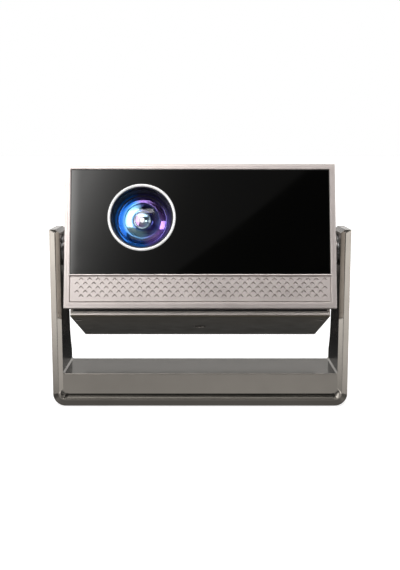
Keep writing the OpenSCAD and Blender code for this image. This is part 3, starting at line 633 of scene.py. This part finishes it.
# The bottom cover's downward faces take the underside's painted shade.
refined("bottom_cover", round_off(0.25), [MATERIALS["housing_metal"], UNDERSIDE_PAINTED_SHADE],
        lambda centre, normal: normal.dot(DOWN) > 0.35)
refined("rear_cover", round_off(0.35), vented=True)
stand_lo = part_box("stand_frame")[0] / MM
base_skin, moulding_depth = 5, 5.5
sill_z = max(v.co.z for v in NODES["stand_ballast"].data.vertices) / MM + base_skin


def stand_rounds(middle, convex):
    """A fine round on each convex edge, and a broader one on the base's top front edge."""
    if not convex:
        return 0
    moulding = middle.y < stand_lo.y + moulding_depth
    return 0.8 if moulding and abs(middle.z - sill_z) < 0.4 else 0.3


def painted_shade_faces(centre, normal):
    """The arms' inner sides, and the slope above the base's bottom lip, get painted shade: a near-black colour
    that stands in for the shade and dark reflections there.
    """
    inner_side = abs(normal.x) > 0.9 and normal.x * centre.x < 0
    lip_top = 20 * MM
    lip_slope = normal.y < -0.6 and normal.z > 0.5 and centre.z < lip_top
    return inner_side or lip_slope


refined("stand_frame", stand_rounds, [MATERIALS["stand_metal"], STAND_PAINTED_SHADE], painted_shade_faces)
for name in ("arm_cap_left", "arm_cap_right", "power_button"):
    refined(name, round_off(0.4))
for name in ("hub_left", "hub_right"):
    refined(name, round_off(0.8))

# ---- Studio ----

scene = bpy.context.scene
scene.view_settings.view_transform = "Standard"

camera = bpy.data.objects.new("camera", bpy.data.cameras.new("camera"))
scene.collection.objects.link(camera)
scene.camera = camera
# A 67 mm lens on a 36 mm frame, with the frame shifted as in a view camera
camera.data.sensor_width = 36
camera.data.lens = 67.02
camera.data.shift_x, camera.data.shift_y = -0.00035, 0.10526
camera.data.clip_start, camera.data.clip_end = 0.01, 100
camera.location = (0, -1.0865, 0.2571)
down_tilt = math.radians(10.48)
camera.rotation_euler = (math.pi / 2 - down_tilt, 0, 0)

floor_mat = Shader("studio_floor", (0.82, 0.82, 0.82), 0.9)
floor_mat.set("Emission Color", (1, 1, 1, 1))
floor_mat.set("Emission Strength", 0.72)
floor_mesh = bpy.data.meshes.new("studio_floor")
reach = 30
floor_mesh.from_pydata([(-reach, -reach, 0), (reach, -reach, 0), (reach, reach, 0),
                        (-reach, reach, 0)], [], [(0, 1, 2, 3)])
floor_mesh.materials.append(floor_mat.mat)
floor = bpy.data.objects.new("studio_floor", floor_mesh)
scene.collection.objects.link(floor)
floor.visible_glossy = False
floor.visible_diffuse = False


# Light comes from the world: soft panels placed by bearing (0 in front of the object, + to
# the right) and elevation, in degrees. The camera itself sees plain white.
world = bpy.data.worlds.new("studio")
scene.world = world
world.use_nodes = True
wn, wl = world.node_tree.nodes, world.node_tree.links
wn.clear()


def wmath(op, *values):
    made = wn.new("ShaderNodeMath")
    made.operation = op
    for i, v in enumerate(values):
        if isinstance(v, (int, float)):
            made.inputs[i].default_value = v
        else:
            wl.new(v, made.inputs[i])
    return made.outputs[0]


def wrange(value, lo, hi, a=0.0, b=1.0):
    made = wn.new("ShaderNodeMapRange")
    made.interpolation_type = "SMOOTHSTEP"
    for socket, v in (("From Min", lo), ("From Max", hi), ("To Min", a), ("To Max", b)):
        made.inputs[socket].default_value = v
    wl.new(value, made.inputs["Value"])
    return made.outputs["Result"]


def product(first, *others):
    for other in others:
        first = wmath("MULTIPLY", first, other)
    return first


def total(first, *others):
    for other in others:
        first = wmath("ADD", first, other)
    return first


def between(value, low, high, soft):
    """1 from low to high, with soft edges."""
    return product(wrange(value, low - soft, low + soft),
                   wrange(value, high - soft, high + soft, 1, 0))


def panel(az, el, level, soft):
    """A soft-edged rectangle of light."""
    return product(between(AZ, *az, soft), between(EL, *el, soft), level)


def beyond(slope, offset, soft):
    """1 above the line el = slope * az + offset."""
    return wrange(wmath("SUBTRACT", EL, wmath("MULTIPLY_ADD", AZ, slope, offset)), -soft, soft)


LEVELS = {"key": 1.45, "core": 2.4, "left_box": 2.0, "top_strip": 5.0, "sheen": 0.05, "quad": 4.6,
          "violet": 0.3, "fill": 0.3, "low_glow": 0.42, "low_front": 0.65, "deep_front": 0.24,
          "left_low": 0.15, "right_low": 0.2, "left_mid": 3.2, "right_mid": 2.1,
          "left_high": 1.1, "right_high": 1.0, "zenith": 0.2, "overhead": 1.3,
          "rear_low": 1.0, "rear_mid": 0.5, "rear_under": 0.19}
coord = wn.new("ShaderNodeTexCoord")
split = wn.new("ShaderNodeSeparateXYZ")
wl.new(coord.outputs["Generated"], split.inputs[0])
X, Y, Z = (split.outputs[axis] for axis in "XYZ")
DEG = 180 / math.pi
AZ = wmath("MULTIPLY", wmath("ARCTAN2", X, wmath("MULTIPLY", Y, -1.0)), DEG)
EL = wmath("MULTIPLY", wmath("ARCSINE", Z), DEG)
SIDE = wmath("ABSOLUTE", AZ)

front = wrange(SIDE, 90, 115, 1, 0)
back = wrange(SIDE, 90, 115)
# The key fades to the right and downwards, so that the front glass shows a long gradient
fade = wmath("MULTIPLY_ADD", AZ, -0.513, wmath("MULTIPLY_ADD", EL, 0.222, -10.7))
LIGHTS = {
    "key": product(wmath("MINIMUM", wmath("EXPONENT", wmath("MINIMUM", fade, 4.0)), 1.1),
                   wrange(AZ, -16.5, -14.5), wrange(EL, 24.8, 25.6), wrange(EL, 35, 40, 1, 0),
                   LEVELS["key"]),
    "core": panel((-18, -7.8), (25, 37), LEVELS["core"], 0.35),
    "left_box": product(wmath("MAXIMUM", wrange(AZ, -16.0, -15.2, 1, 0), beyond(0.866, 44.5, 0.4)),
                        wrange(AZ, -46, -36), wrange(EL, 0, 12), wrange(EL, 50, 55, 1, 0),
                        wrange(AZ, 3, 8, 1, 0), LEVELS["left_box"]),
    "top_strip": panel((-25, 30), (44, 53), LEVELS["top_strip"], 1.5),
    "sheen": product(panel((-12, 12), (20, 44), LEVELS["sheen"], 2), beyond(0.64, 28.4, 0.15)),
    "quad": panel((10.2, 16.4), (23.7, 29.5), LEVELS["quad"], 0.3),
    "violet": panel((6, 17), (12, 22), LEVELS["violet"], 4),
    "fill": panel((22, 50), (18, 46), LEVELS["fill"], 6),
    "low_glow": panel((-34, 34), (2, 8), LEVELS["low_glow"], 3),
    "low_front": panel((-40, 40), (-28, -6), LEVELS["low_front"], 5),
    "deep_front": product(front, wrange(EL, -36, -26, 1, 0), LEVELS["deep_front"]),
    "left_low": panel((-115, -45), (-60, -16), LEVELS["left_low"], 7),
    "right_low": panel((45, 115), (-60, -16), LEVELS["right_low"], 7),
    "left_mid": product(panel((-115, -45), (-14, 0), LEVELS["left_mid"], 4),
                        wrange(EL, -16, -1, 0.1, 1)),
    "right_mid": product(panel((45, 115), (-14, 0), LEVELS["right_mid"], 4),
                         wrange(EL, -16, -1, 0.5, 1)),
    "left_high": panel((-115, -50), (2, 36), LEVELS["left_high"], 4),
    "right_high": panel((50, 115), (2, 36), LEVELS["right_high"], 4),
    "zenith": product(front, wrange(EL, 64, 72), LEVELS["zenith"]),
    "overhead": product(back, wrange(EL, 46, 60), LEVELS["overhead"]),
    "rear_low": product(back, wrange(EL, 1, 3), wrange(EL, 6, 9, 1, 0), LEVELS["rear_low"]),
    "rear_mid": product(back, wrange(EL, 9, 13), wrange(EL, 36, 46, 1, 0), LEVELS["rear_mid"]),
    "rear_under": product(back, wrange(EL, -42, -20), wrange(EL, -18, -8, 1, 0),
                          LEVELS["rear_under"]),
}
level = total(0.01, *LIGHTS.values())

tint = wn.new("ShaderNodeBackground")
tint.inputs["Color"].default_value = (1.0, 0.985, 0.965, 1)
wl.new(level, tint.inputs["Strength"])
white = wn.new("ShaderNodeBackground")
white.inputs["Color"].default_value = (1, 1, 1, 1)
mix = wn.new("ShaderNodeMixShader")
path = wn.new("ShaderNodeLightPath")
wl.new(path.outputs["Is Camera Ray"], mix.inputs["Fac"])
wl.new(tint.outputs[0], mix.inputs[1])
wl.new(white.outputs[0], mix.inputs[2])
wl.new(mix.outputs[0], wn.new("ShaderNodeOutputWorld").inputs["Surface"])
